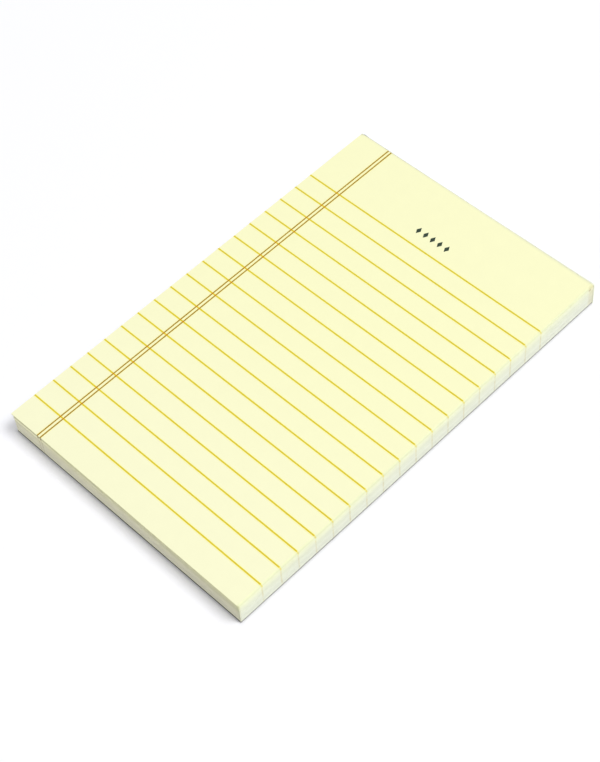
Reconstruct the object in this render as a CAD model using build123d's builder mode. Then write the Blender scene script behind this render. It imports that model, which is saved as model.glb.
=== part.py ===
from build123d import *
import math
import os

# A small glued writing pad: a block of ruled sheets on a stiff backing board, held by glue along the head.
# The frame has its origin at the bottom centre, X across the sheets, Y towards the glued head, Z up.

# Sheets
page_width = 89.0
page_length = 139.2
sheet_count = 76
sheet_thickness = 0.1

# Cut edges of the block: its lean over the board, the fan of its top sheets, and the unevenness of the cut
lean_reach = 0.15
fan_reach = 0.6
fanned_sheets = 5
edge_ripple = 0.04
foot_ripple = 0.12
ripple_turn = 2.4

# Backing board
board_thickness = 0.6

# Glue film on the head
glue_crown = 0.8
glue_edge = 0.45
glue_edge_radius = 0.3
glue_end_radius = 0.3
glue_set_back = 0.15

# Ruling, counted from the head
header_depth = 22.45
ruling_pitch = 6.35
last_rule_drop = 6.75
foot_clearance = 8.0
rule_width = 0.5

# Double margin line, counted from the left edge
margin_inset = 11.55
margin_spacing = 1.15
margin_line_width = 0.33

# Ornament in the header, counted from the head
ornament_depth = 17.3
ornament_count = 5
ornament_spacing = 2.7
lozenge_width = 1.5
lozenge_height = 2.6

# Depth of the printed ink in the top sheet
ink_depth = 0.05

# Places that follow from the sizes
overall_length = page_length + glue_crown
foot_y = -overall_length / 2
head_y = foot_y + page_length
top_z = board_thickness + sheet_count * sheet_thickness
level_sheets = sheet_count - fanned_sheets
board_x = fan_reach / 2 - lean_reach
rule_steps = int((page_length - header_depth - last_rule_drop - foot_clearance) / ruling_pitch)


def side_shift(leaf):
    """Sideways place of a leaf: the stack leans out as it rises, then its top sheets fan back."""
    if leaf < level_sheets:
        lean = lean_reach * math.sin(math.pi / 2 * leaf / level_sheets)
        return board_x + lean - edge_ripple * math.sin(ripple_turn * leaf) ** 2
    fanned = (leaf - level_sheets + 1) / fanned_sheets
    return fan_reach / 2 - fan_reach * fanned


def foot_inset(leaf):
    """How far a leaf's foot lies inside the foot of the board."""
    return foot_ripple * math.sin(ripple_turn * leaf / 2) ** 2


top_shift = side_shift(sheet_count - 1)
left_x = top_shift - page_width / 2
first_rule_y = head_y - header_depth
rule_places = [first_rule_y - step * ruling_pitch for step in range(rule_steps + 1)]
rule_places.append(rule_places[-1] - last_rule_drop)
margin_places = [left_x + margin_inset + side * margin_spacing / 2 for side in (-1, 1)]

# Backing board
with BuildPart() as backing_board:
    with BuildSketch(Plane.XY):
        with Locations((board_x, head_y)):
            Rectangle(page_width, page_length, align=(Align.CENTER, Align.MAX))
    extrude(amount=board_thickness)

# Print on the top sheet: two margin lines, the rules that they interrupt, and a row of lozenges
with BuildSketch(Plane.XY.offset(top_z)) as margin_print:
    with Locations([(x, head_y) for x in margin_places]):
        Rectangle(margin_line_width, page_length, align=(Align.CENTER, Align.MAX))

with BuildSketch(Plane.XY.offset(top_z)) as rule_print:
    with Locations([(top_shift, y) for y in rule_places]):
        Rectangle(page_width, rule_width)
    add(margin_print.sketch_local, mode=Mode.SUBTRACT)

with BuildSketch(Plane.XY.offset(top_z)) as ornament_print:
    with Locations((top_shift, head_y - ornament_depth)):
        with GridLocations(ornament_spacing, 0, ornament_count, 1):
            Polygon(
                (-lozenge_width / 2, 0),
                (0, -lozenge_height / 2),
                (lozenge_width / 2, 0),
                (0, lozenge_height / 2),
            )

# Sheets, leaf on leaf, with the print let into the top one
with BuildPart() as page_block:
    for leaf in range(sheet_count):
        with BuildSketch(Plane.XY.offset(board_thickness + leaf * sheet_thickness)):
            with Locations((side_shift(leaf), head_y)):
                leaf_length = page_length - foot_inset(leaf)
                Rectangle(page_width, leaf_length, align=(Align.CENTER, Align.MAX))
    extrude(amount=sheet_thickness)
    for print_sketch in (margin_print, rule_print, ornament_print):
        extrude(print_sketch.sketch, amount=-ink_depth, mode=Mode.SUBTRACT)

with BuildPart() as margin_lines:
    extrude(margin_print.sketch, amount=-ink_depth)

with BuildPart() as ruled_lines:
    extrude(rule_print.sketch, amount=-ink_depth)

with BuildPart() as heading_ornament:
    extrude(ornament_print.sketch, amount=-ink_depth)

# Glue film, brushed on the head of sheets and board: a low crowned strip with soft edges
bottom_z = glue_set_back
brim_z = top_z - glue_set_back
with BuildPart() as head_glue:
    with BuildSketch(Plane.YZ.offset(board_x - page_width / 2)) as glue_section:
        with BuildLine():
            Polyline(
                (head_y + glue_edge, bottom_z),
                (head_y, bottom_z),
                (head_y, brim_z),
                (head_y + glue_edge, brim_z),
            )
            ThreePointArc(
                (head_y + glue_edge, brim_z),
                (head_y + glue_crown, (bottom_z + brim_z) / 2),
                (head_y + glue_edge, bottom_z),
            )
        make_face()
        fillet(glue_section.vertices().group_by(Axis.X)[-1], radius=glue_edge_radius)
    extrude(amount=page_width)
    end_rims = head_glue.faces().filter_by(Axis.X).edges()
    back_edges = end_rims.group_by(Axis.Y)[0]
    fillet(end_rims - back_edges, radius=glue_end_radius)

pieces = {
    "backing_board": backing_board,
    "page_block": page_block,
    "ruled_lines": ruled_lines,
    "margin_lines": margin_lines,
    "heading_ornament": heading_ornament,
    "head_glue": head_glue,
}

os.makedirs("parts", exist_ok=True)
for name, piece in pieces.items():
    piece.part.label = name
    export_step(piece.part, f"parts/{name}.step")
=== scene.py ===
import math

import bpy
import numpy as np
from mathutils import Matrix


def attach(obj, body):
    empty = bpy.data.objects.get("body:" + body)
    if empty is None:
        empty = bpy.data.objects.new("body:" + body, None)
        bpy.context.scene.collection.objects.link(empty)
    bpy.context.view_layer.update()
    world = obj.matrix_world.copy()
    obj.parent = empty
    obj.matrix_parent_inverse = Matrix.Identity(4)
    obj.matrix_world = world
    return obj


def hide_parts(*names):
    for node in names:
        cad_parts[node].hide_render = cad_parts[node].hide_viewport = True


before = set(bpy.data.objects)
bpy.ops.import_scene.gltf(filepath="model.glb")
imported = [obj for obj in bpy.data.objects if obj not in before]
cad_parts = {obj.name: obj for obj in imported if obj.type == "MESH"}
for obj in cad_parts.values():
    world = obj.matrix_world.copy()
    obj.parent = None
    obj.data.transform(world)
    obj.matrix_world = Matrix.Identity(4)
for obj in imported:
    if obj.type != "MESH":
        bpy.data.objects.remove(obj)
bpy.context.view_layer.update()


# Backing board
# One sheet of grey chipboard made from waste paper, pressed smooth and guillotined together with the pages.
# Its cut edge is crushed a little above and below, and stray fibres fleck its underside.
# Sizes here and below are in millimetres, and a pair gives where a change begins and where it is complete.
millimetre = 0.001
page_width = 89.0
page_length = 139.2
head_y = 69.2
foot_y = head_y - page_length
board_x = 0.15
board_right = board_x + page_width / 2
board_thickness = 0.6
board_columns = 60
board_rows = 90
under_rim = 0.13
upper_rim = 0.05
pulled_fibre = 0.008
fibre_limits = (-0.03, 0.02)
press_dent = 0.006

# Levels of the cut edge as shares of the thickness, and how far each lies inside the widest
cut_heights = np.array([0.03, 0.1, 0.22, 0.42, 0.65, 0.85, 0.96])
cut_inset = np.array([0.07, 0.03, 0.008, 0.0, 0.0, 0.006, 0.03])
draw = np.random.default_rng(11)


def flat_grid(columns, rows):
    """Points of a grid as two arrays, across and along, each 0 to 1, with its rim points' numbers.

    The rim runs anticlockwise from the first corner: up the first side of across, then along, and back.
    """
    across, along = np.meshgrid(np.linspace(0, 1, columns + 1), np.linspace(0, 1, rows + 1))
    number = np.arange(across.size).reshape(across.shape)
    rim = np.concatenate([number[0, :-1], number[:-1, -1], number[-1, :0:-1], number[:0:-1, 0]])
    return across.ravel(), along.ravel(), rim


def outward_from(across, along):
    """The direction out of a sheet at points of its rim: a unit step for each edge that a point is on."""
    steps = [(across == 1) * 1.0 - (across == 0), (along == 1) * 1.0 - (along == 0)]
    return np.stack(steps, -1)


def laid_flat(across, along, middle_x, length):
    """Places of a sheet's grid points seen from above: straight across, and down from its head."""
    return np.stack([middle_x + (across - 0.5) * page_width, head_y - (1 - along) * length], -1)


def closed_shell(columns, rows, under, rims, upper):
    """A closed skin: a grid below, rims one above the other as its sides, and the same grid above.

    Each quad joins four neighbours, turned so that it faces outwards.
    """
    number = np.arange((columns + 1) * (rows + 1)).reshape(rows + 1, columns + 1)
    rim = flat_grid(columns, rows)[2]
    corners = [number[:-1, :-1], number[:-1, 1:], number[1:, 1:], number[1:, :-1]]
    cells = np.stack(corners, -1).reshape(-1, 4)
    sides = number.size + np.arange(len(rims) * len(rim)).reshape(len(rims), len(rim))
    above = number.size + sides.size
    levels = np.vstack([rim[None], sides, above + rim[None]])
    turned = np.roll(levels, -1, axis=1)
    walls = np.stack([levels[:-1], turned[:-1], turned[1:], levels[1:]], -1).reshape(-1, 4)
    points = np.concatenate([under, np.reshape(rims, (-1, 3)), upper])
    return points, np.concatenate([cells[:, ::-1], walls, above + cells])


def make_piece(name, shells, sharp=30):
    """One object in metres from shells in millimetres, smooth but at angles of more than sharp degrees."""
    starts = np.cumsum([0] + [len(points) for points, quads in shells[:-1]])
    points = np.concatenate([shell[0] for shell in shells]) * millimetre
    quads = np.concatenate([shell[1] + start for shell, start in zip(shells, starts)])
    mesh = bpy.data.meshes.new(name)
    mesh.from_pydata(points, [], quads)
    mesh.shade_smooth()
    mesh.set_sharp_from_angle(angle=math.radians(sharp))
    piece = bpy.data.objects.new(name, mesh)
    bpy.context.scene.collection.objects.link(piece)
    return piece


class Shade:
    """A changing value of a finish, such as a colour or a height: sums and products of it become nodes."""

    def __init__(self, finish, socket):
        self.finish = finish
        self.socket = socket

    def __add__(self, other):
        return self.finish.math("ADD", self, other)

    __radd__ = __add__

    def __sub__(self, other):
        return self.finish.math("SUBTRACT", self, other)

    def __rsub__(self, other):
        return self.finish.math("SUBTRACT", other, self)

    def __mul__(self, other):
        return self.finish.math("MULTIPLY", self, other)

    __rmul__ = __mul__

    def __truediv__(self, other):
        return self.finish.math("DIVIDE", self, other)


class NodeTree:
    """Nodes added by calls, and by sums and products of what the calls return."""

    def __init__(self, tree):
        self.tree = tree

    def set(self, socket, value):
        """Gives a socket a link or a value."""
        if isinstance(value, Shade):
            self.tree.links.new(value.socket, socket)
        else:
            socket.default_value = value

    def node(self, kind, settings, inputs, output=0):
        """Any node: its settings first, then the values or links of its sockets."""
        made = self.tree.nodes.new("ShaderNode" + kind)
        for key, value in settings.items():
            setattr(made, key, value)
        for key, value in inputs.items():
            self.set(made.inputs[key], value)
        return Shade(self, made.outputs[output])

    def math(self, operation, *values):
        return self.node("Math", {"operation": operation}, dict(enumerate(values)))

    def mix(self, factor, first, second, blend="MIX"):
        """A colour between two others, or one laid over the other."""
        settings = {"data_type": "RGBA", "blend_type": blend}
        return self.node("Mix", settings, {0: factor, 6: first, 7: second}, 2)

    def wash(self, factor, tint, colour):
        """A tint with a thin see-through coat of a colour over it, as strong as the factor."""
        return self.mix(factor, tint, colour, "MULTIPLY")

    def rise(self, value, low, high):
        """0 up to low and 1 from high on, with a soft step between; it falls where high is the lower."""
        inputs = {"Value": value, "From Min": low, "From Max": high}
        return self.node("MapRange", {"interpolation_type": "SMOOTHSTEP"}, inputs)

    def place(self):
        """Place on the object in millimetres."""
        object_place = self.node("TexCoord", {}, {}, "Object")
        return self.node("VectorMath", {"operation": "SCALE"}, {0: object_place, "Scale": 1 / millimetre})

    def axis(self, vector, name):
        """The X, Y or Z of a place."""
        return self.node("SeparateXYZ", {}, {0: vector}, name)

    def stretch(self, vector, x, y, z):
        return self.node("VectorMath", {"operation": "MULTIPLY"}, {0: vector, 1: (x, y, z)})

    def noise(self, vector, scale, detail=2.0, roughness=0.5):
        inputs = {"Vector": vector, "Scale": scale, "Detail": detail, "Roughness": roughness}
        return self.node("TexNoise", {}, inputs)


class Finish(NodeTree):
    """A material whose colour, roughness and relief come from nodes."""

    def __init__(self, name):
        self.material = bpy.data.materials.new(name)
        self.material.use_nodes = True
        super().__init__(self.material.node_tree)
        self.shader = self.tree.nodes["Principled BSDF"]

    def surface(self, colour, roughness, relief=None, depth=0.01, specular=0.3):
        """Sets the shader: a relief of that depth turns its normal."""
        self.set(self.shader.inputs["Base Color"], colour)
        self.set(self.shader.inputs["Roughness"], roughness)
        self.shader.inputs["Specular IOR Level"].default_value = specular
        if relief is not None:
            inputs = {"Strength": 1.0, "Distance": depth * millimetre, "Height": relief}
            self.set(self.shader.inputs["Normal"], self.node("Bump", {}, inputs))


across, along, rim = flat_grid(board_columns, board_rows)
outward = outward_from(across[rim], along[rim])
board_flat = laid_flat(across, along, board_x, page_length)
dents = draw.normal(size=across.size) * press_dent
board_under = np.column_stack([board_flat, np.clip(dents, 0, None)])
board_upper = np.column_stack([board_flat, np.full(across.size, board_thickness)])
board_under[rim, :2] -= outward * under_rim
board_upper[rim, :2] -= outward * upper_rim
fibres = np.clip(draw.normal(size=(len(cut_heights), len(rim), 1)) * pulled_fibre, *fibre_limits)
board_rims = np.empty((len(cut_heights), len(rim), 3))
board_rims[:, :, :2] = board_flat[rim] - outward * (cut_inset[:, None, None] + fibres)
board_rims[:, :, 2] = cut_heights[:, None] * board_thickness
shell = closed_shell(board_columns, board_rows, board_under, board_rims, board_upper)
board = make_piece("chipboard_back", [shell])

# Pulp of the board, its flecks, painted shade on its cut side along the foot, and painted light on its
# upper cut side at the right
dark_pulp = (0.215, 0.208, 0.18, 1)
pale_pulp = (0.36, 0.348, 0.305, 1)
straw = (0.46, 0.44, 0.38, 1)
old_print = (0.05, 0.045, 0.04, 1)
white_scrap = (0.62, 0.6, 0.53, 1)
dark_ply = (0.12, 0.115, 0.095, 1)
pale_ply = (0.23, 0.222, 0.19, 1)
painted_foot_shade = (0.32, 0.31, 0.25, 1)
painted_light_pale = (0.72, 0.73, 0.63, 1)
side_z = (0.01, 0.04)
painted_foot_shade_y = (foot_y + 0.4, foot_y + 0.2)
painted_light_z = (0.36, 0.44)
painted_light_x = (board_right - 0.65, board_right - 0.25)

chipboard = Finish("grey_chipboard")
where = chipboard.place()
x, y, z = (chipboard.axis(where, name) for name in "XYZ")
clouds = chipboard.noise(where, 0.12, 3.0)
fibre = chipboard.noise(chipboard.stretch(where, 1.0, 0.35, 1.0), 2.2, 4.0, 0.7)
hair = chipboard.rise(chipboard.noise(chipboard.stretch(where, 1.7, 0.22, 1.0), 1.0), 0.6, 0.68)
dark_fleck = chipboard.rise(chipboard.noise(where, 1.3), 0.63, 0.68)
pale_fleck = chipboard.rise(chipboard.noise(chipboard.stretch(where, 0.5, 1.0, 1.0), 1.1), 0.64, 0.7)
tint = chipboard.mix(clouds, dark_pulp, pale_pulp)
tint = chipboard.wash(1.0, tint, 0.66 + 0.68 * fibre)
tint = chipboard.mix(0.4 * hair, tint, straw)
tint = chipboard.mix(0.7 * dark_fleck, tint, old_print)
tint = chipboard.mix(0.7 * pale_fleck, tint, white_scrap)
ply = chipboard.noise(chipboard.stretch(where, 0.4, 0.4, 9.0), 1.0, 3.0, 0.6)
side_tint = chipboard.mix(ply, dark_ply, pale_ply)
# Painted shade: the board's cut edge along the foot is darkened where it stands in shadow against the
# table.
side_tint = chipboard.wash(chipboard.rise(y, *painted_foot_shade_y), side_tint, painted_foot_shade)
# Painted light: the upper part of the board's cut edge on the lit right side is made paler.
painted_light_edge = chipboard.rise(z, *painted_light_z) * chipboard.rise(x, *painted_light_x)
side_tint = chipboard.mix(0.75 * painted_light_edge, side_tint, painted_light_pale)
tint = chipboard.mix(chipboard.rise(z, *side_z), tint, side_tint)
chipboard.surface(tint, 0.82 + 0.12 * fibre, fibre + 0.5 * clouds, depth=0.03, specular=0.2)
board.data.materials.append(chipboard.material)
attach(board, "root")
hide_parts("backing_board")


# Sheets
# Seventy-six leaves of pale yellow writing paper, knocked up square, glued at the head and cut as a block.
# The cut edges lean a little over the board, and the top leaves have slipped back to the left in a fan.
# Every leaf is ruled and margined before the cut, so that the cut edges show the ends of the ink.
sheet_count = 76
sheet_thickness = 0.1
lean_reach = 0.15
fan_reach = 0.6
fanned_sheets = 5
edge_ripple = 0.04
foot_ripple = 0.12
ripple_turn = 2.4
sheet_columns = 60
sheet_rows = 90
sharp_cut = 20
leaf_gap = 0.024
groove_depth = 0.03
gap_deepening = 4.0
knife_wobble = 0.012
leaf_wander = 0.006
wave_modes = 12
glued_share = 1 / 12
loose_slip = 0.035
loose_turn = 0.0003
top_slip = 0.03
slip_span = 5
slip_scale = 2.2
sheet_cockle = 0.012
head_pull = 0.04
level_sheets = sheet_count - fanned_sheets
top_z = board_thickness + sheet_count * sheet_thickness
left_x = board_x + lean_reach - fan_reach - page_width / 2
right_x = left_x + page_width

# Sprung left foot corner: below one leaf the stack droops there, and the leaves beside the gap jut out
corner_leaf = 67
corner_lift = 0.18
corner_reach = 16.0
corner_ease = 1.3
lower_jut = 0.16
lower_jut_leaves = 9
upper_jut = 0.17
upper_jut_start = 3
upper_jut_leaves = 5

# Print on every leaf
header_depth = 22.45
ruling_pitch = 6.35
last_rule_drop = 6.75
rule_steps = 16
rule_width = 0.5
margin_inset = 11.55
margin_spacing = 1.15
margin_line_width = 0.38
first_rule_y = head_y - header_depth
rule_places = [first_rule_y - step * ruling_pitch for step in range(rule_steps + 1)]
rule_places.append(rule_places[-1] - last_rule_drop)
margin_places = [left_x + margin_inset + side * margin_spacing / 2 for side in (-1, 1)]


def smoothed(span, scale):
    """A random height for each leaf, summed over a few neighbours, so that near leaves lie alike."""
    return np.convolve(draw.normal(size=sheet_count + span - 1), np.ones(span) / scale, "valid")


def soft_waves(count, places):
    """Uneven curves round the rim, one a leaf.

    Each is a sum of sines of one to twelve turns with random heights, weaker as they shorten.
    """
    turns = np.arange(1, wave_modes + 1)
    angles = 2 * np.pi * turns[:, None] * places
    basis = np.concatenate([np.cos(angles), np.sin(angles)]) / np.tile(np.sqrt(turns), 2)[:, None]
    return draw.normal(size=(count, 2 * wave_modes)) @ basis


def loose_corner(across, along):
    """1 at the left foot corner, easing to 0 at a set distance from it along either edge."""
    distance = np.hypot(across * page_width, along * page_length)
    return np.clip(1 - distance / corner_reach, 0, None) ** corner_ease


def cockled(across, along):
    """Slow crossed waves of damp paper, as a product of two slanting sines: 0 at the crests, down to -2."""
    return np.sin(across * 7 + along * 4) * np.sin(along * 9 - across * 3) - 1


def on_rule(finish, y, blur):
    """1 on each printed rule, within half a line of the nearest even rule or of the last one."""
    even = finish.math("ROUND", (first_rule_y - y) / ruling_pitch)
    even = finish.math("MINIMUM", finish.math("MAXIMUM", even, 0.0), rule_steps)
    even_gap = finish.math("ABSOLUTE", first_rule_y - even * ruling_pitch - y)
    last_gap = finish.math("ABSOLUTE", y - rule_places[-1])
    nearer = finish.math("MINIMUM", even_gap, last_gap)
    return finish.rise(nearer, rule_width / 2 + blur, rule_width / 2 - blur)


def on_margin(finish, x, blur):
    """1 on either margin line, within half a line of the nearer of the two."""
    gaps = [finish.math("ABSOLUTE", x - place) for place in margin_places]
    nearer = finish.math("MINIMUM", *gaps)
    return finish.rise(nearer, margin_line_width / 2 + blur, margin_line_width / 2 - blur)


across, along, rim = flat_grid(sheet_columns, sheet_rows)
outward = outward_from(across[rim], along[rim])
free = 1 - along[rim]
at_foot = along[rim] == 0
loose = loose_corner(across[rim], along[rim])
leaf = np.arange(sheet_count)
lean = lean_reach * np.sin(np.pi / 2 * leaf / level_sheets)
level_shift = board_x + lean - edge_ripple * np.sin(ripple_turn * leaf) ** 2
fanned = (leaf - level_sheets + 1) / fanned_sheets
shift = np.where(leaf < level_sheets, level_shift, fan_reach / 2 - fan_reach * fanned)
inset = foot_ripple * np.sin(ripple_turn * leaf / 2) ** 2
slip = smoothed(slip_span, slip_scale) * loose_slip
turn = smoothed(slip_span, slip_scale) * loose_turn
slip[-1] = top_slip
turn[-1] = 0.0
rim_place = np.linspace(0, 1, len(rim), endpoint=False)
wander = knife_wobble * soft_waves(1, rim_place) + leaf_wander * soft_waves(sheet_count, rim_place)
wander *= np.minimum(1, free / glued_share)

below_gap = leaf < corner_leaf
jut = lower_jut * below_gap * np.clip(1 - (corner_leaf - 1 - leaf) / lower_jut_leaves, 0, 1)
jut += upper_jut * np.clip((leaf - corner_leaf - upper_jut_start) / upper_jut_leaves, 0, 1)
sag = corner_lift * np.where(below_gap, (leaf + 1) / corner_leaf, 0.0)[:, None] * loose
leaf_x = shift[:, None] + (across[rim] - 0.5) * page_width + turn[:, None] * free * page_length
leaf_y = head_y - free * (page_length - inset[:, None] + slip[:, None]) - at_foot * loose * jut[:, None]
leaf_xy = np.stack([leaf_x, leaf_y], -1) + outward * wander[:, :, None]
low_z = (board_thickness + leaf * sheet_thickness + leaf_gap / 2)[:, None] - sag
high_z = low_z + sheet_thickness - leaf_gap

gap_z = (high_z[:-1] + low_z[1:]) / 2
ledge = np.abs(((leaf_xy[1:] - leaf_xy[:-1]) * outward).sum(-1, keepdims=True)) / 2
opening = (low_z[1:] - high_z[:-1] - leaf_gap)[:, :, None]
groove = outward * (ledge + groove_depth + gap_deepening * opening)
block_rims = np.empty((3 * sheet_count - 1, len(rim), 3))
block_rims[0::3, :, :2] = leaf_xy
block_rims[0::3, :, 2] = low_z
block_rims[1::3, :, :2] = leaf_xy
block_rims[1::3, :, 2] = high_z
block_rims[2::3, :, :2] = (leaf_xy[1:] + leaf_xy[:-1]) / 2 - groove
block_rims[2::3, :, 2] = gap_z
top_flat = laid_flat(across, along, shift[-1], page_length)
top_flat[rim] = leaf_xy[-1]
drawn_down = head_pull * (along == 1)
block_upper = np.column_stack([top_flat, top_z + sheet_cockle * cockled(across, along) - drawn_down])
under_flat = laid_flat(across, along, shift[0], page_length - inset[0])
under_flat[rim] = leaf_xy[0] - outward * groove_depth
block_under = np.column_stack([under_flat, np.full(across.size, board_thickness)])
shell = closed_shell(sheet_columns, sheet_rows, block_under, block_rims, block_upper)
pages = make_piece("ruled_pages", [shell], sharp_cut)

cap_cells = sheet_columns * sheet_rows
on_edge = np.ones(len(pages.data.polygons), int)
on_edge[:cap_cells] = 0
on_edge[-cap_cells:] = 0

# Tone of each leaf, painted shade in the grooves between the leaves, and stripes of painted light and shade
# beside
# the sprung corner: the first leaf, the one after the last and the tone, with leaves counted from the gap
tone_span = 7
tone_scale = 2.6
tone_drift = 1.5
groove_painted_shade = -2.0
corner_painted_shading = ((-20, -15, -8.0), (-11, -6, 20.0), (0, 5, -25.0))
leaf_tone = draw.normal(size=sheet_count) + tone_drift * smoothed(tone_span, tone_scale)
from_gap = leaf - corner_leaf
painted_corner_stripes = sum(level * ((from_gap >= first) & (from_gap < last)) for first, last, level in corner_painted_shading)
rim_tones_and_painted_shading = np.empty((3 * sheet_count - 1, len(rim)))
rim_tones_and_painted_shading[0::3] = leaf_tone[:, None] + painted_corner_stripes[:, None] * np.sqrt(loose)
rim_tones_and_painted_shading[1::3] = rim_tones_and_painted_shading[0::3]
rim_tones_and_painted_shading[2::3] = groove_painted_shade
tone_and_painted_shading = np.zeros(len(pages.data.vertices))
tone_and_painted_shading[len(across):-len(across)] = rim_tones_and_painted_shading.ravel()
tone_and_painted_shading[-len(across):] = leaf_tone[-1]
# The leaf_tone attribute carries each leaf's tone together with the painted shade of the grooves and the
# painted light and shade of the corner stripes.
pages.data.attributes.new("leaf_tone", "FLOAT", "POINT").data.foreach_set("value", tone_and_painted_shading)

# Face of the top leaf: its yellow, the ink that creeps beside the lines, and the glue that greys the head
foot_yellow = (0.952, 0.952, 0.648, 1)
head_yellow = (0.955, 0.955, 0.598, 1)
crept_ink = (1.035, 0.995, 0.3, 1)
glued_paper = (0.93, 0.94, 0.98, 1)
corner_glue = (0.72, 0.75, 0.52, 1)
rule_creep = 0.45
margin_creep = 0.5
head_yellow_y = (foot_y, 20.0)
glued_y = (head_y - 1.0, head_y + 0.3)
glued_x = (-70.0, 30.0)
corner_glue_gap = (1.3, 0.5)

paper = Finish("pale_yellow_paper")
where = paper.place()
x, y = (paper.axis(where, name) for name in "XY")
formation = paper.noise(where, 0.22, 3.0, 0.55)
fibre = paper.noise(where, 5.0, 3.0, 0.6)
tint = paper.mix(paper.rise(y, *head_yellow_y), foot_yellow, head_yellow)
tint = paper.wash(1.0, tint, 0.976 + 0.03 * formation + 0.018 * fibre)
inked = paper.math("MAXIMUM", on_rule(paper, y, rule_creep), on_margin(paper, x, margin_creep))
tint = paper.wash(inked, tint, crept_ink)
glued = paper.rise(y + 0.3 * fibre, *glued_y) * paper.rise(x, *glued_x)
tint = paper.wash(glued, tint, glued_paper)
left_head = {0: where, 1: (left_x, head_y, top_z)}
corner_gap = paper.node("VectorMath", {"operation": "DISTANCE"}, left_head, "Value")
tint = paper.mix(0.8 * paper.rise(corner_gap + 0.4 * fibre, *corner_glue_gap), tint, corner_glue)
paper.surface(tint, 0.78 + 0.1 * fibre, fibre + 0.4 * formation, depth=0.004, specular=0.25)

# Cut edges: heights are shares of the block, from 0 at the board to 1 at the top
cut_white = (0.905, 0.913, 0.8, 1)
cut_yellow = (0.93, 0.935, 0.66, 1)
painted_foot_warm_shade = (1.0, 0.978, 0.93, 1)
painted_right_cool_light = (0.945, 0.965, 0.945, 1)
top_band_wash = (0.86, 0.87, 0.83, 1)
rule_end_wash = (0.92, 0.87, 0.76, 1)
fan_rule_wash = (0.97, 0.87, 0.44, 1)
margin_end_ink = (0.3, 0.2, 0.05, 1)
glue_stain_wash = (0.93, 0.88, 0.79, 1)
glue_spot_brown = (0.5, 0.42, 0.27, 1)
foot_face = (foot_y + 0.5, foot_y + 0.3)
right_face = (right_x - 0.6, right_x - 0.2)
head_face = (head_y - 0.3, head_y - 0.1)
rightward_x = (-40.0, 40.0)
fan_height = (0.89, 0.94)
painted_ridge_height = (0.58, 0.72)
brim_painted_highlight_height = (0.94, 0.985)
yellow_height = (0.25, 1.0)
foot_base_painted_shade_height = (0.035, 0.005)
band_left_height = 0.84
band_fall = 0.28
band_blur = 0.08
band_fade_x = (-20.0, 5.0)
fan_drag = 0.24
rule_end_blur = 0.1
margin_end_blur = 0.05
strong_ink_height = (0.76, 0.86)
stain_y = (head_y - 2.3, head_y - 0.9)
spot_low = (0.83, 0.86)
spot_high = (0.94, 0.91)
spot_front = (head_y - 2.3, head_y - 2.0)
spot_back = (head_y - 1.0, head_y - 1.3)

edges = Finish("cut_paper_edges")
where = edges.place()
x, y, z = (edges.axis(where, name) for name in "XYZ")
height = (z - board_thickness) / (top_z - board_thickness)
tone_and_painted_shading = edges.node("Attribute", {"attribute_name": "leaf_tone"}, {}, "Fac")
streak = edges.noise(edges.stretch(where, 0.07, 0.07, 3.2), 1.0, 3.0, 0.6)
band = edges.noise(edges.stretch(where, 0.02, 0.02, 0.9), 1.0)
knife_mark = edges.noise(edges.stretch(where, 1.0, 1.0, 0.06), 1.6, 3.0, 0.6)
speck = edges.noise(where, 6.0)
foot_side = edges.rise(y, *foot_face)
right_side = edges.rise(x, *right_face)
rightward = edges.rise(x, *rightward_x)
in_fan = edges.rise(height, *fan_height)
painted_ridge_light = edges.rise(height, *painted_ridge_height) * (1 - in_fan) * right_side
band_low = band_left_height - band_fall * rightward
top_band = edges.rise(height, band_low, band_low + band_blur) * foot_side
top_band = top_band * (1 - 0.35 * edges.rise(x, *band_fade_x))
tint = edges.mix(0.55 * edges.rise(height, *yellow_height) + 0.35 * in_fan, cut_white, cut_yellow)
# Painted light: the shaded foot side is tinted warm, as by light thrown up from the table, and the lit
# right side is tinted cooler.
tint = edges.wash(foot_side, tint, painted_foot_warm_shade)
tint = edges.wash(right_side, tint, painted_right_cool_light)
tint = edges.wash(top_band, tint, top_band_wash)
# Brightness of the cut edges: real streaks, bands, knife marks and specks, together with painted light and
# shade. There is painted shade on the fanned leaves and on the lowest leaves of the foot, and painted
# highlights on the ridge below the fan and on the brim of the right side. The foot also grows darker
# towards the right.
light = 0.875 + 0.016 * tone_and_painted_shading + 0.06 * streak + 0.09 * band + 0.05 * knife_mark + 0.02 * speck
light = light + 0.012 * painted_ridge_light - 0.02 * in_fan - 0.06 * foot_side * rightward
light = light + 0.095 * edges.rise(height, *brim_painted_highlight_height) * right_side
light = light * (1 - 0.4 * foot_side * edges.rise(height, *foot_base_painted_shade_height))
tint = edges.wash(1.0, tint, light)
rule_end = on_rule(edges, y + fan_drag * (1 - in_fan), rule_end_blur)
ink_taken = edges.rise(edges.noise(edges.stretch(where, 0.3, 0.3, 0.9), 1.0, 3.0), 0.2, 0.6)
tint = edges.wash(rule_end * (1 - in_fan) * ink_taken, tint, rule_end_wash)
tint = edges.wash(rule_end * in_fan, tint, fan_rule_wash)
margin_end = on_margin(edges, x, margin_end_blur) * (foot_side + edges.rise(y, *head_face))
margin_end = margin_end * (0.3 * ink_taken + 0.5 * edges.rise(height, *strong_ink_height))
tint = edges.mix(margin_end, tint, margin_end_ink)
glue_stain = edges.rise(y + 0.7 * speck, *stain_y) * (0.5 + 0.5 * streak)
tint = edges.wash(glue_stain, tint, glue_stain_wash)
glue_spot = edges.rise(height, *spot_low) * edges.rise(height, *spot_high)
glue_spot = glue_spot * edges.rise(y, *spot_front) * edges.rise(y, *spot_back)
tint = edges.mix(0.65 * glue_spot, tint, glue_spot_brown)
edges.surface(tint, 0.9, streak + 0.3 * speck, depth=0.01, specular=0.15)
for finish in (paper, edges):
    pages.data.materials.append(finish.material)
pages.data.polygons.foreach_set("material_index", on_edge)
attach(pages, "root")
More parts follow.
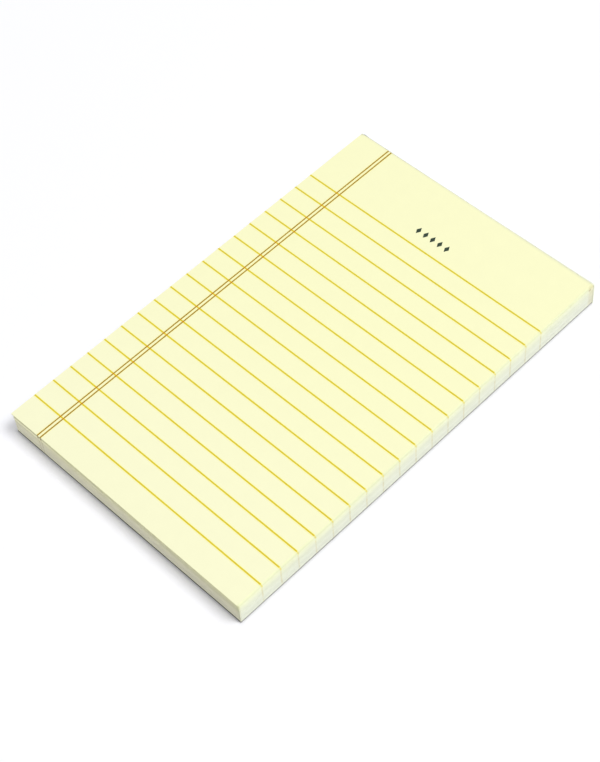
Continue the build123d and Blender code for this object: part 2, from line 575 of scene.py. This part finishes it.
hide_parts("page_block")


# Ruling
# Eighteen golden lines, printed across the full width of every leaf before cutting, so that they run off
# both edges. The ink has soaked into the paper, and its ragged film stands a hair's breadth proud.
ink_rise = 0.006
ink_root = 0.03
edge_clearance = 0.02
ink_raggedness = 0.012
rule_columns = 120
rule_rows = 2
bright_gold = (0.795, 0.64, 0.025, 1)
deep_gold = (0.735, 0.585, 0.015, 1)
heavier_ink = (0.96, 0.965, 1, 1)
heavier_ink_y = (-60.0, 50.0)


def ink_strip(columns, rows, flat_x, flat_y, height):
    """A film of ink from its flat points, let into the sheet below and standing proud by its height."""
    depth = np.full(flat_x.size, top_z)
    under = np.column_stack([flat_x, flat_y, depth - ink_root])
    upper = np.column_stack([flat_x, flat_y, depth + height])
    return closed_shell(columns, rows, under, np.empty((0, 1, 3)), upper)


across, along = flat_grid(rule_columns, rule_rows)[:2]
strips = []
for rule_y in rule_places:
    ragged = ink_raggedness * draw.uniform(-1, 1, across.size) * (along != 0.5)
    strip_x = left_x + edge_clearance + across * (page_width - 2 * edge_clearance)
    strip_y = rule_y + (along - 0.5) * (rule_width - 2 * edge_clearance) + ragged
    strips.append(ink_strip(rule_columns, rule_rows, strip_x, strip_y, ink_rise))
rules = make_piece("ruled_ink", strips)

rule_ink = Finish("golden_rule_ink")
where = rule_ink.place()
density = rule_ink.noise(where, 1.4, 4.0, 0.65)
tint = rule_ink.mix(0.5 * density, deep_gold, bright_gold)
tint = rule_ink.wash(rule_ink.rise(rule_ink.axis(where, "Y"), *heavier_ink_y), tint, heavier_ink)
rule_ink.surface(tint, 0.62 + 0.2 * density, density, depth=0.003)
rules.data.materials.append(rule_ink.material)
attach(rules, "root")
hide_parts("ruled_lines")


# Margin lines
# A pair of fine brown lines down the left of every leaf, from head to foot, overprinted on the ruling.
# Where the two inks cross they show orange.
margin_rise = 0.009
margin_columns = 2
margin_rows = 400
crossing_blur = 0.02
dark_brown = (0.36, 0.195, 0.006, 1)
light_brown = (0.43, 0.26, 0.015, 1)
crossing_orange = (0.6, 0.2, 0.004, 1)
line_foot = foot_y + edge_clearance
line_head = head_y - edge_clearance
across, along = flat_grid(margin_columns, margin_rows)[:2]
strips = []
for margin_x in margin_places:
    ragged = ink_raggedness * draw.uniform(-1, 1, across.size) * (across != 0.5)
    strip_x = margin_x + (across - 0.5) * margin_line_width + ragged
    strip_y = line_foot + along * (line_head - line_foot)
    strips.append(ink_strip(margin_columns, margin_rows, strip_x, strip_y, margin_rise))
margins = make_piece("margin_ink", strips)

margin_ink = Finish("brown_margin_ink")
where = margin_ink.place()
density = margin_ink.noise(where, 2.1, 4.0, 0.65)
tint = margin_ink.mix(0.4 * density, dark_brown, light_brown)
crossing = on_rule(margin_ink, margin_ink.axis(where, "Y"), crossing_blur)
tint = margin_ink.mix(crossing, tint, crossing_orange)
margin_ink.surface(tint, 0.62 + 0.2 * density, density, depth=0.003)
margins.data.materials.append(margin_ink.material)
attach(margins, "root")
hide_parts("margin_lines")


# Heading ornament
# Five small lozenges in a row in the header of the sheet.
# They are printed in dark green ink, denser than that of the lines.
ornament_depth = 17.3
ornament_count = 5
ornament_spacing = 2.7
lozenge_width = 1.5
lozenge_height = 2.6
lozenge_cells = 12
deep_green = (0.014, 0.032, 0.018, 1)
worn_green = (0.035, 0.065, 0.04, 1)
across, along = flat_grid(lozenge_cells, lozenge_cells)[:2]
strips = []
for step in range(ornament_count):
    centre_x = shift[-1] + (step - (ornament_count - 1) / 2) * ornament_spacing
    lozenge_x = centre_x + (across - along) * lozenge_width / 2
    lozenge_y = head_y - ornament_depth + (across + along - 1) * lozenge_height / 2
    strips.append(ink_strip(lozenge_cells, lozenge_cells, lozenge_x, lozenge_y, ink_rise))
ornament = make_piece("lozenge_row", strips)

heading_ink = Finish("dark_green_ink")
density = heading_ink.noise(heading_ink.place(), 3.0, 4.0, 0.65)
tint = heading_ink.mix(0.5 * density, deep_green, worn_green)
heading_ink.surface(tint, 0.55 + 0.25 * density, density, depth=0.003, specular=0.35)
ornament.data.materials.append(heading_ink.material)
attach(ornament, "root")
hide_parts("heading_ornament")


# Glue film
# Padding glue brushed along the clamped head of the sheets and board, and dried to a pale rubbery film.
# The ends of the leaves show through it as fine lines, and the brush has left it thicker in places.
glue_crown = 0.8
glue_edge = 0.45
glue_set_back = 0.15
glue_rounding = 0.3
glue_root = 0.04
film_columns = 220
film_rows = 26
brush_swell = 0.03
lump_height = 0.16
lump_place = 0.5
lump_width = 0.5
lump_sharpness = 6
right_swell = 0.25
lower_swell = 0.4
right_overhang = 0.25


def brushed(across, up):
    """Swells left by the brush, as a product of two sines along the head: 0 at the crests, down to -2."""
    return np.sin(across * 31 + 2 * up) * np.sin(across * 12 + 1) - 1


def rounded(gap):
    """1 away from an edge of the film, falling as a quarter circle to 0 on the edge."""
    return np.sqrt(1 - np.clip(1 - gap / glue_rounding, 0, 1) ** 2)


across, along = flat_grid(film_columns, film_rows)[:2]
up = (1 - np.cos(np.pi * along)) / 2
end_x = (0.5 - across) * page_width
film_z = glue_set_back + up * (top_z - 2 * glue_set_back)
from_end = page_width / 2 - np.abs(end_x)
from_brim = np.minimum(film_z - glue_set_back, top_z - glue_set_back - film_z)
from_left = page_width / 2 + end_x
to_right = np.clip(from_left / page_width, 0, 1)
crowned = glue_edge + (glue_crown - glue_edge) * (1 - (2 * up - 1) ** 2)
crowned += right_swell * to_right ** 3 * (1 + lower_swell * (1 - up))
film_x = board_x + end_x + right_overhang * to_right ** 12
film_y = head_y + (crowned + brush_swell * brushed(across, up)) * rounded(from_end) * rounded(from_brim)
film_z += lump_height * np.exp(-((from_left - lump_place) / lump_width) ** 2) * up ** lump_sharpness
film_under = np.column_stack([film_x, np.full(across.size, head_y - glue_root), film_z])
film_upper = np.column_stack([film_x, film_y, film_z])
shell = closed_shell(film_columns, film_rows, film_under, np.empty((0, 1, 3)), film_upper)
film = make_piece("padding_glue_film", [shell])

# Colours of the dried glue: clouded, aged towards the right, and dark where it has gathered at the left
thin_glue = (0.88, 0.905, 0.76, 1)
thick_glue = (0.94, 0.96, 0.85, 1)
aged_wash = (0.99, 0.99, 0.93, 1)
gathered_glue = (0.44, 0.47, 0.36, 1)
aged_x = (0.0, 30.0)
gathered_x = (left_x + 3.0, left_x + 1.2)
gathered_z = (top_z - 1.6, top_z - 0.6)

glue = Finish("dried_padding_glue")
where = glue.place()
x, z = (glue.axis(where, name) for name in "XZ")
cloud = glue.noise(glue.stretch(where, 0.25, 1.0, 0.8), 1.0, 3.0)
leaf_line = glue.noise(glue.stretch(where, 0.02, 0.02, 6.0), 1.0)
tint = glue.mix(cloud, thin_glue, thick_glue)
tint = glue.wash(glue.rise(x, *aged_x), tint, aged_wash)
tint = glue.wash(1.0, tint, 0.94 + 0.1 * leaf_line)
gathered = glue.rise(x, *gathered_x) * glue.rise(z, *gathered_z)
tint = glue.mix(0.9 * gathered, tint, gathered_glue)
glue.surface(tint, 0.3 + 0.2 * cloud, cloud + 0.4 * leaf_line, depth=0.03, specular=0.45)
film.data.materials.append(glue.material)
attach(film, "root")
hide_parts("head_glue")


# Table, light and camera
# A wide white table under plain soft studio light: an even sky, one broad lamp high behind the pad on the
# right, and a weak warm one low in front, which keeps the foot of the pad from falling dark.
table_half = 3000.0
table_drop = 0.02
table_white = (0.94, 0.943, 0.975, 1)
near_glow = (0.06, 0.06, 0.078, 1)
no_glow = (0, 0, 0, 1)
full_glow = (1, 1, 1, 1)
contact_shade_gap = (0.2, 1.6)
far_gap = (150.0, 700.0)
table_corners = np.array([[-1, -1, 0], [1, -1, 0], [1, 1, 0], [-1, 1, 0]]) * table_half - (0, 0, table_drop)
table = make_piece("table_top", [(table_corners, np.array([[0, 1, 2, 3]]))])


def seen_directly(tree):
    """1 for what the camera sees, also mirrored or through glass, and 0 for the light on things."""
    path = tree.node("LightPath", {}, {}, "Is Camera Ray")
    for kind in ("Is Glossy Ray", "Is Transmission Ray"):
        path = tree.math("MAXIMUM", path, tree.node("LightPath", {}, {}, kind))
    return path


white_table = Finish("white_table")
white_table.surface(table_white, 1.0, specular=0.0)
where = white_table.place()
beside = white_table.math("ABSOLUTE", white_table.axis(where, "X") - board_x) - page_width / 2
before = white_table.math("ABSOLUTE", white_table.axis(where, "Y")) - page_length / 2
pad_gap = white_table.math("MAXIMUM", beside, before)
# Painted shade: the camera glow is held back close round the pad, so the table darkens where the pad meets
# it.
glow_past_contact_shade = seen_directly(white_table) * white_table.rise(pad_gap, *contact_shade_gap)
glow = white_table.mix(white_table.rise(pad_gap, *far_gap), near_glow, full_glow)
white_table.set(white_table.shader.inputs["Emission Color"], white_table.mix(glow_past_contact_shade, no_glow, glow))
white_table.shader.inputs["Emission Strength"].default_value = 1.0
table.data.materials.append(white_table.material)

sky_grey = (0.52, 0.52, 0.52, 1)
sky_white = (1, 1, 1, 1)
world = bpy.data.worlds.new("soft_sky")
bpy.context.scene.world = world
world.use_nodes = True
air = NodeTree(world.node_tree)
background = world.node_tree.nodes["Background"]
air.set(background.inputs["Color"], air.mix(seen_directly(air), sky_grey, sky_white))


def add_lamp(name, height, turn, distance, size, level, colour):
    """A round lamp aimed at the pad from a height and a turn in degrees.

    Its level is the light that it gives a face turned to it, where 1 shows a colour as it is.
    """
    lamp_data = bpy.data.lights.new(name, "AREA")
    lamp_data.shape = "DISK"
    lamp_data.size = size
    lamp_data.color = colour
    lamp_data.energy = level * math.pi ** 2 * distance ** 2
    lamp = bpy.data.objects.new(name, lamp_data)
    bpy.context.scene.collection.objects.link(lamp)
    height, turn = math.radians(height), math.radians(turn)
    flat = distance * math.cos(height)
    lamp.location = (flat * math.cos(turn), flat * math.sin(turn), distance * math.sin(height))
    lamp.rotation_mode = "QUATERNION"
    lamp.rotation_quaternion = lamp.location.to_track_quat("Z", "Y")


white_light = (1.0, 1.0, 1.0)
warm_light = (1.0, 0.95, 0.88)
add_lamp("broad_lamp", 62.5, 26, 3.0, 1.35, 0.555, white_light)
add_lamp("low_fill", 16, -108, 3.0, 1.2, 0.1, warm_light)

focal_length = 86.32
film_width = 36.0
camera_place = (0.235792, -0.199964, 0.408721)
camera_turn = (36.4506, 4.0983, 44.7401)
camera_data = bpy.data.cameras.new("camera")
camera_data.lens = focal_length
camera_data.sensor_width = film_width
camera_data.clip_start = 0.01
camera_data.clip_end = 20.0
camera = bpy.data.objects.new("camera", camera_data)
bpy.context.scene.collection.objects.link(camera)
camera.location = camera_place
camera.rotation_euler = [math.radians(angle) for angle in camera_turn]
bpy.context.scene.camera = camera
bpy.context.scene.view_settings.view_transform = "Standard"
